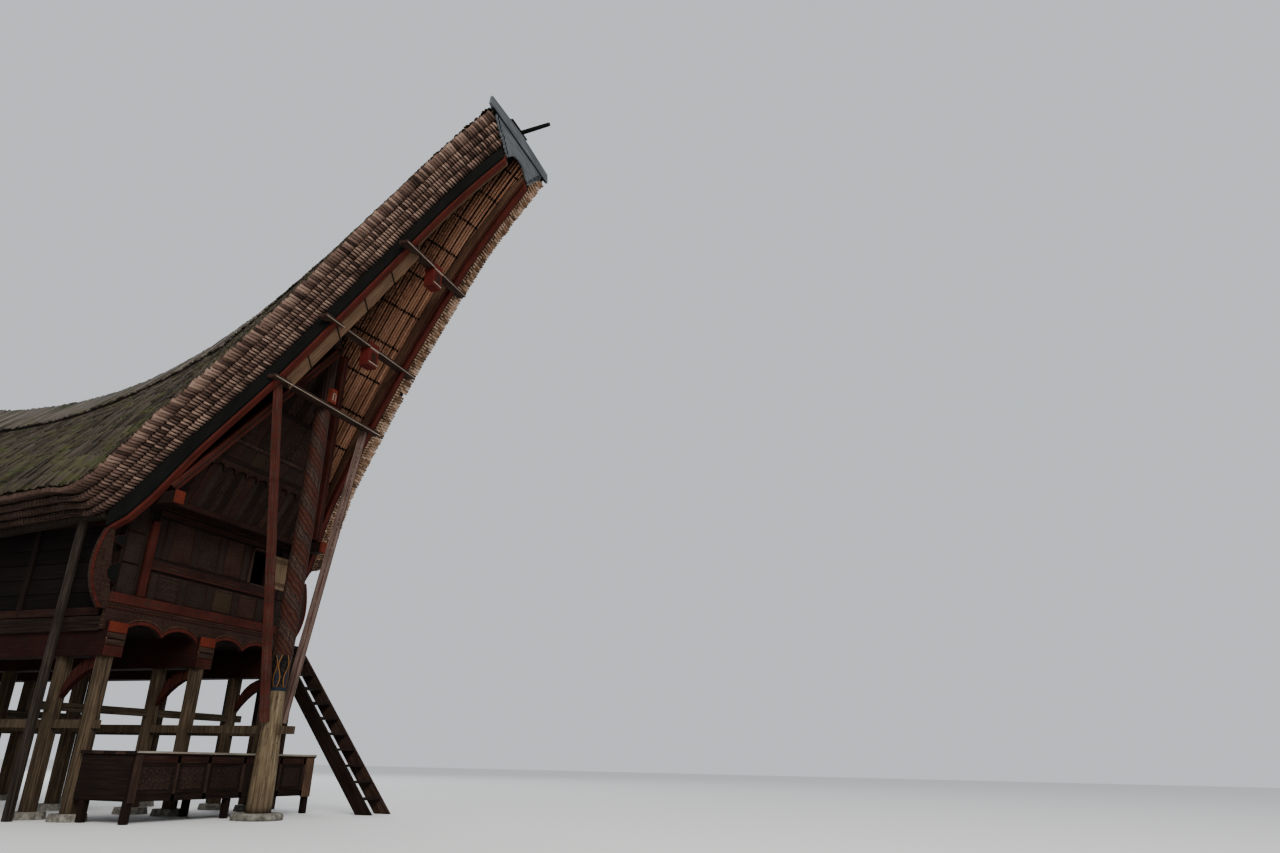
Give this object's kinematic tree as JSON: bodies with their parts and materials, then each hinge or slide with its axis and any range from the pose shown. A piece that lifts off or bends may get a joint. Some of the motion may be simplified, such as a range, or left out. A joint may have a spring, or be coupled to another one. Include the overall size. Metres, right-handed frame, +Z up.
{
  "type": "tongkonan house",
  "caption": "Wooden house on posts under a thick saddle-shaped bamboo roof with upswept ends, carved gable walls, tall gable posts, a side stair and a porch bench.",
  "frame": {"origin": "on the ground at the middle of the house's length and width", "axes": "+X to the house's right seen from its front, +Y from the front to the rear, +Z up"},
  "size_m": [5.8018, 22.3414, 12.49],
  "materials": {
    "bamboo_roof": "rough weathered split bamboo in layers",
    "weathered_timber": "bare weathered timber",
    "red_timber": "matte red painted timber",
    "carved_board": "carved and painted timber boards",
    "dark_plank": "dark aged timber planks",
    "grey_plank": "grey weathered timber plank",
    "cream_board": "pale bare timber board"
  },
  "bodies": {
    "root": {"posts_left": "weathered_timber", "posts_center": "weathered_timber", "posts_right": "weathered_timber", "cross_tie_1": "weathered_timber", "cross_tie_2": "weathered_timber", "cross_tie_3": "weathered_timber", "cross_tie_4": "weathered_timber", "floor_beam_left": "red_timber", "floor_beam_center": "red_timber", "floor_beam_right": "red_timber", "floor": "dark_plank", "front_sill_board": "carved_board", "rear_sill_board": "carved_board", "front_wall": "carved_board", "rear_wall": "carved_board", "left_wall": "dark_plank", "right_wall": "dark_plank", "side_door": "dark_plank", "front_shutter": "cream_board", "rear_shutter": "carved_board", "front_gable_wall": "carved_board", "rear_gable_wall": "carved_board", "roof_left": "bamboo_roof", "roof_right": "bamboo_roof", "ridge_cap": "bamboo_roof", "front_verge_board_left": "red_timber", "front_verge_board_right": "red_timber", "rear_verge_board_left": "red_timber", "rear_verge_board_right": "red_timber", "front_collar_1": "grey_plank", "rear_collar_1": "grey_plank", "front_collar_2": "grey_plank", "rear_collar_2": "grey_plank", "front_collar_3": "grey_plank", "rear_collar_3": "grey_plank", "front_tip_board": "grey_plank", "rear_tip_board": "grey_plank", "front_gable_post": "weathered_timber", "rear_gable_post": "weathered_timber", "front_gable_rafters": "red_timber", "rear_gable_rafters": "red_timber", "front_strut_left": "red_timber", "front_strut_right": "grey_plank", "rear_strut_left": "red_timber", "rear_strut_right": "grey_plank", "eave_frame_left": "weathered_timber", "eave_frame_right": "weathered_timber", "side_stair": "dark_plank", "stair_landing": "dark_plank", "front_bench": "carved_board"}
  },
  "joints": []
}
